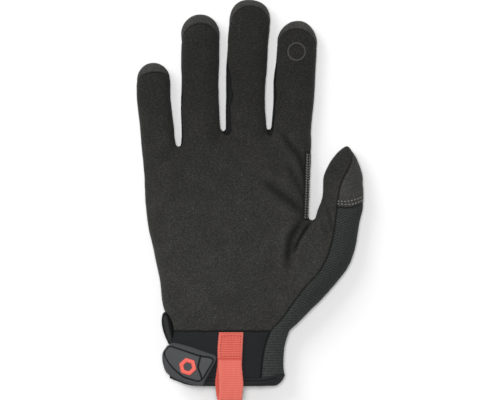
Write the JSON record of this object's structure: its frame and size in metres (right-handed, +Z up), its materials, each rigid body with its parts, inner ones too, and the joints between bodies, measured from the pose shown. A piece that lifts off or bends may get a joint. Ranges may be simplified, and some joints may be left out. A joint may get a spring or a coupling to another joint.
{
  "type": "mechanic glove",
  "caption": "Right-hand work glove lying palm up: suede palm, wrapped fingertip caps, knit thumb, hook-and-loop wrist tab and webbing pull loop, hollow and open at the wrist",
  "frame": {"origin": "middle of the bounding box, on the surface that the glove lies on", "axes": "+Y from the hem to the fingertips, +X towards the thumb, +Z up out of the palm"},
  "size_m": [0.1412, 0.248, 0.0312],
  "materials": {
    "suede": "brushed synthetic suede",
    "cap_suede": "brushed synthetic suede, worn lighter",
    "knit": "ribbed knit",
    "stretch": "smooth stretch cloth",
    "neoprene": "cloth-faced neoprene",
    "moulded_rubber": "moulded satin rubber",
    "red_rubber": "moulded satin rubber",
    "webbing": "ribbed woven tape"
  },
  "bodies": {
    "root": {"palm_panel": "suede", "back_panel": "knit", "thumb_knit_panel": "knit", "wrist_panel": "neoprene", "cuff_binding": "neoprene", "tip_cap_little": "cap_suede", "tip_cap_ring": "cap_suede", "tip_cap_middle": "cap_suede", "tip_cap_index": "cap_suede", "thumb_cap": "cap_suede", "fourchette_little_ring": "stretch", "fourchette_ring_middle": "stretch", "fourchette_middle_index": "stretch", "web_gusset": "knit", "slit_binding": "stretch", "closure_strap": "neoprene", "closure_tab": "moulded_rubber", "tab_emblem": "red_rubber", "pull_loop": "webbing", "touch_mark": "suede"}
  },
  "joints": []
}
